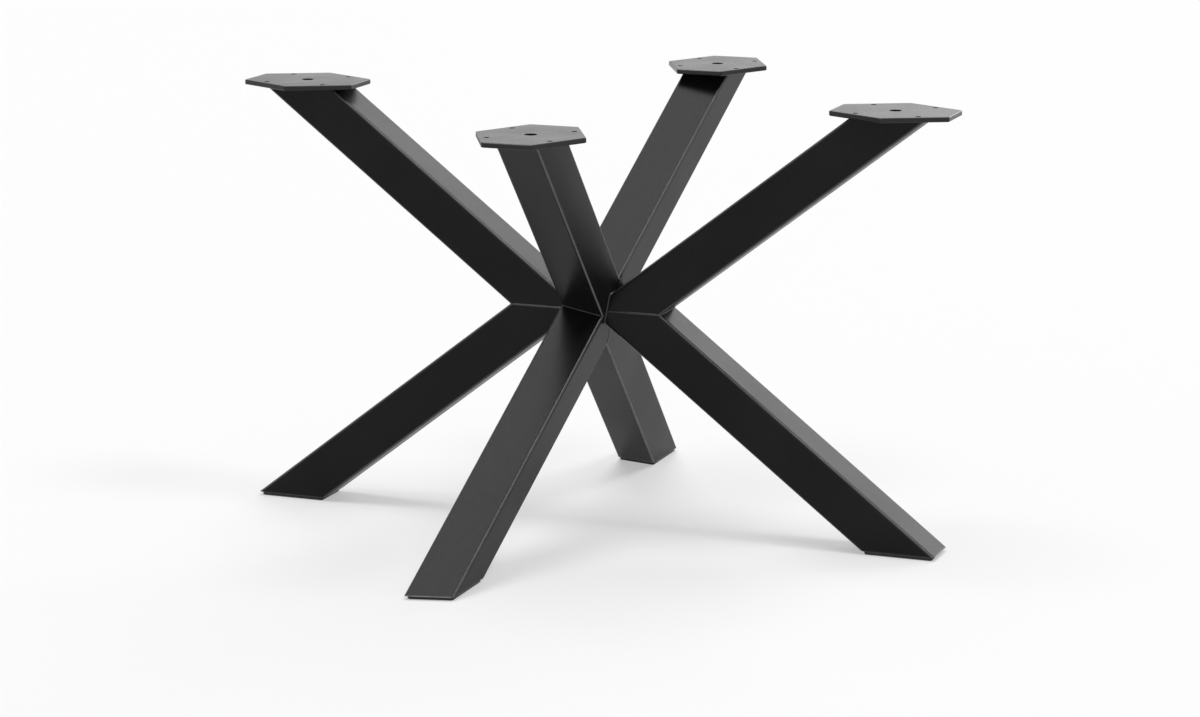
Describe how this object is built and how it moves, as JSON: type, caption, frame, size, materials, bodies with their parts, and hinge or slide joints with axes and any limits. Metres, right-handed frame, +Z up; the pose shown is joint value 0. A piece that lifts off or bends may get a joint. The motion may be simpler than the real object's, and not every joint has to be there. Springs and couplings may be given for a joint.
{
  "type": "table base",
  "caption": "Spider-shaped dining table base of square steel tube: two crossed X frames, with a screw plate at each upper end and a glide under each foot.",
  "frame": {"origin": "on the floor, in the middle of the base's outline seen from above", "axes": "+Z up; -Y towards the picture's viewer, near the front leg; +X towards the right leg"},
  "size_m": [1.1714, 1.075, 0.72],
  "materials": {
    "powder_coated_steel": "black powder coat with a fine even texture, satin",
    "glide_plastic": "black moulded polyethylene, matt"
  },
  "bodies": {
    "root": {"right_upper_arm": "powder_coated_steel", "right_lower_arm": "powder_coated_steel", "right_plate": "powder_coated_steel", "right_glide": "glide_plastic", "left_upper_arm": "powder_coated_steel", "left_lower_arm": "powder_coated_steel", "left_plate": "powder_coated_steel", "left_glide": "glide_plastic", "back_upper_arm": "powder_coated_steel", "back_lower_arm": "powder_coated_steel", "back_plate": "powder_coated_steel", "back_glide": "glide_plastic", "front_upper_arm": "powder_coated_steel", "front_lower_arm": "powder_coated_steel", "front_plate": "powder_coated_steel", "front_glide": "glide_plastic"}
  },
  "joints": []
}
